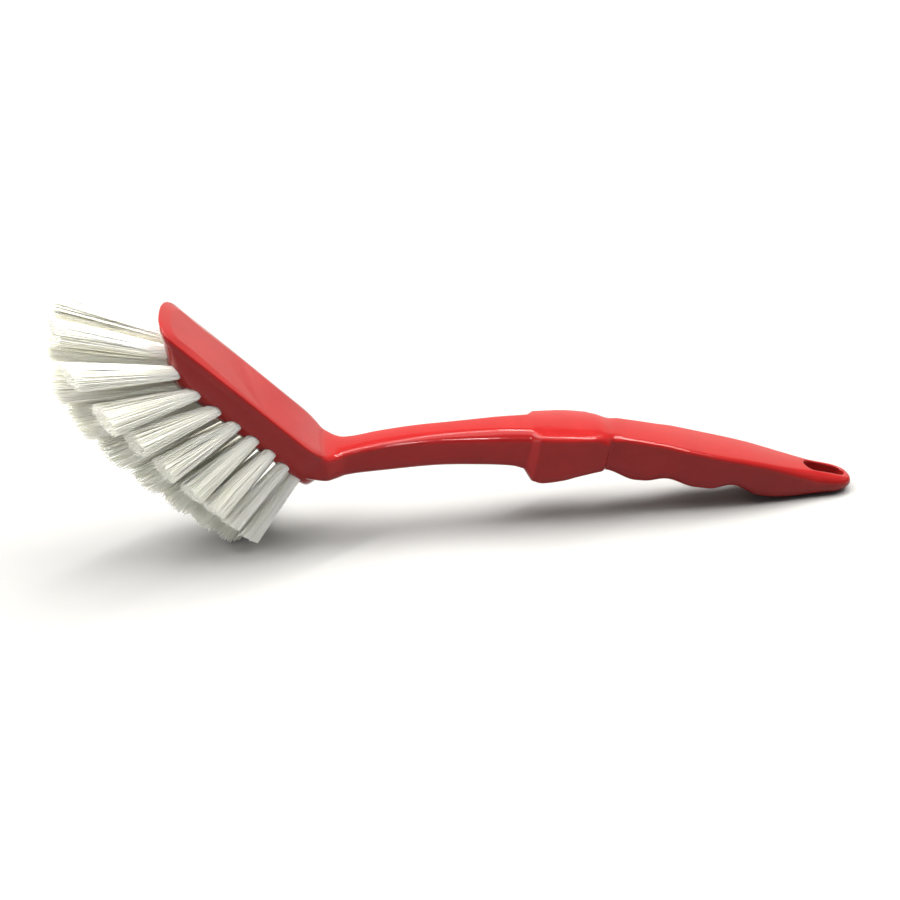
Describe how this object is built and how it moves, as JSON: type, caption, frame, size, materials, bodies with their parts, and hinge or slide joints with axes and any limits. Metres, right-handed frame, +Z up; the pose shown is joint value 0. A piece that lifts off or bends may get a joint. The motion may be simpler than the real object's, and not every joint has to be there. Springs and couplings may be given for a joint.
{
  "type": "dish brush",
  "caption": "Dish brush with an angled oval head of fanned nylon tufts, a slim neck, a collar with a finger guard, a scalloped grip and a hang slot.",
  "frame": {"origin": "on the table under the middle of the brush's bounding box, as the brush rests on its rear tufts and on the end of its handle", "axes": "+X along the handle from the bristle head towards the hang slot, +Y across the brush, +Z up"},
  "size_m": [0.2528, 0.036, 0.0826],
  "materials": {
    "handle_red": "glossy moulded red plastic",
    "bristle_white": "off-white nylon filaments, satin",
    "anchor_metal": "plain stamped flat wire"
  },
  "bodies": {
    "root": {"handle_body": "handle_red", "tuft_near_1": "bristle_white", "tuft_near_2": "bristle_white", "tuft_near_3": "bristle_white", "tuft_near_4": "bristle_white", "tuft_near_5": "bristle_white", "tuft_near_6": "bristle_white", "tuft_near_7": "bristle_white", "tuft_near_8": "bristle_white", "tuft_near_9": "bristle_white", "tuft_far_1": "bristle_white", "tuft_far_2": "bristle_white", "tuft_far_3": "bristle_white", "tuft_far_4": "bristle_white", "tuft_far_5": "bristle_white", "tuft_far_6": "bristle_white", "tuft_far_7": "bristle_white", "tuft_far_8": "bristle_white", "tuft_far_9": "bristle_white", "tuft_mid_1": "bristle_white", "tuft_mid_2": "bristle_white", "tuft_mid_3": "bristle_white", "tuft_mid_4": "bristle_white", "tuft_mid_5": "bristle_white", "tuft_mid_6": "bristle_white", "tuft_mid_7": "bristle_white", "tuft_mid_8": "bristle_white", "anchor_near_1": "anchor_metal", "anchor_near_2": "anchor_metal", "anchor_near_3": "anchor_metal", "anchor_near_4": "anchor_metal", "anchor_near_5": "anchor_metal", "anchor_near_6": "anchor_metal", "anchor_near_7": "anchor_metal", "anchor_near_8": "anchor_metal", "anchor_near_9": "anchor_metal", "anchor_far_1": "anchor_metal", "anchor_far_2": "anchor_metal", "anchor_far_3": "anchor_metal", "anchor_far_4": "anchor_metal", "anchor_far_5": "anchor_metal", "anchor_far_6": "anchor_metal", "anchor_far_7": "anchor_metal", "anchor_far_8": "anchor_metal", "anchor_far_9": "anchor_metal", "anchor_mid_1": "anchor_metal", "anchor_mid_2": "anchor_metal", "anchor_mid_3": "anchor_metal", "anchor_mid_4": "anchor_metal", "anchor_mid_5": "anchor_metal", "anchor_mid_6": "anchor_metal", "anchor_mid_7": "anchor_metal", "anchor_mid_8": "anchor_metal"}
  },
  "joints": []
}
